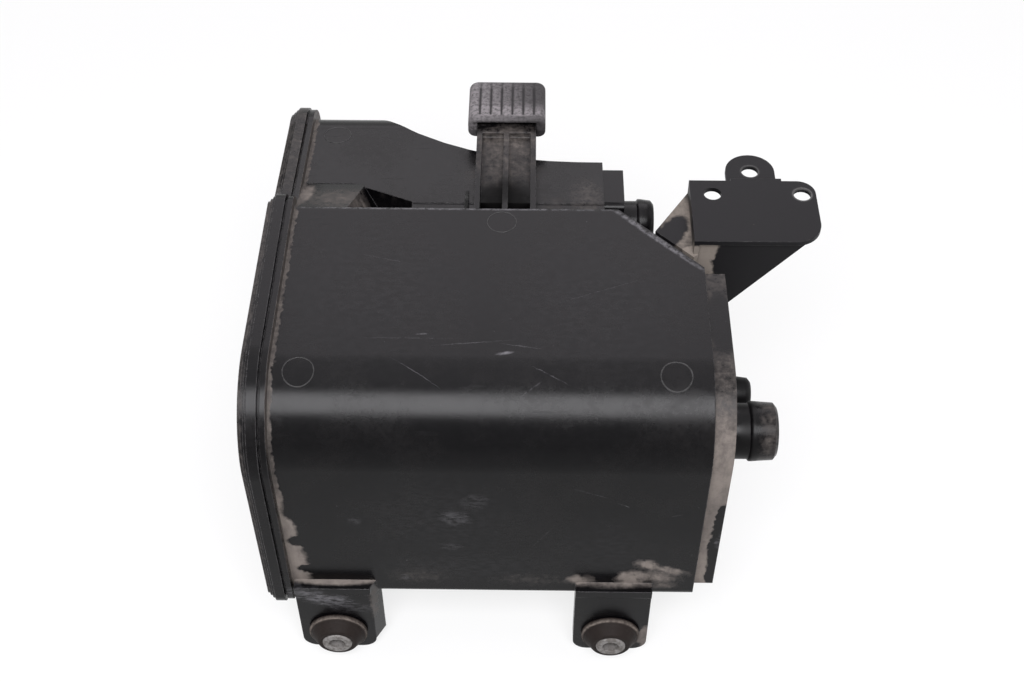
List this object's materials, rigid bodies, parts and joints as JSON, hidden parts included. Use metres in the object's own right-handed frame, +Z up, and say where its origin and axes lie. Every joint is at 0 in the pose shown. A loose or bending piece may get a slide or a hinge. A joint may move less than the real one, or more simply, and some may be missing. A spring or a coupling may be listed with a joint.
{
  "type": "charcoal canister",
  "caption": "Two-chamber charcoal canister of black moulded plastic with a welded end lid, hose spigots, rubber-bushed feet, a cushioned tongue and a steel valve bracket.",
  "frame": {"origin": "midway between the two foot bolt holes, on the front faces of their sleeves", "axes": "+X along the body from the lid to the ports, +Y from the front face to the back, +Z up"},
  "size_m": [0.2148, 0.1991, 0.1494],
  "materials": {
    "housing_plastic": "black moulded plastic, satin, dusty in the corners",
    "lid_plastic": "black moulded plastic, satin",
    "charcoal": "black granules",
    "fleece": "off-white needled fleece",
    "plate_plastic": "dark grey moulded plastic",
    "spring_steel": "bare spring wire",
    "mount_rubber": "black rubber with brown dust",
    "cushion_rubber": "black rubber under grey dust",
    "sleeve_steel": "dull zinc, dusty",
    "bracket_steel": "black coated steel sheet",
    "screw_steel": "dull coated steel"
  },
  "bodies": {
    "root": {"housing": "housing_plastic", "end_lid": "lid_plastic", "front_charcoal_bed": "charcoal", "rear_charcoal_bed": "charcoal", "front_port_fleece": "fleece", "front_lid_fleece": "fleece", "rear_port_fleece": "fleece", "rear_lid_fleece": "fleece", "front_pressure_plate": "plate_plastic", "rear_pressure_plate": "plate_plastic", "front_upper_spring": "spring_steel", "front_lower_spring": "spring_steel", "rear_spring": "spring_steel", "left_foot_grommet": "mount_rubber", "right_foot_grommet": "mount_rubber", "left_foot_sleeve": "sleeve_steel", "right_foot_sleeve": "sleeve_steel", "tongue_cushion": "cushion_rubber", "valve_bracket": "bracket_steel", "bracket_screws": "screw_steel"}
  },
  "joints": []
}
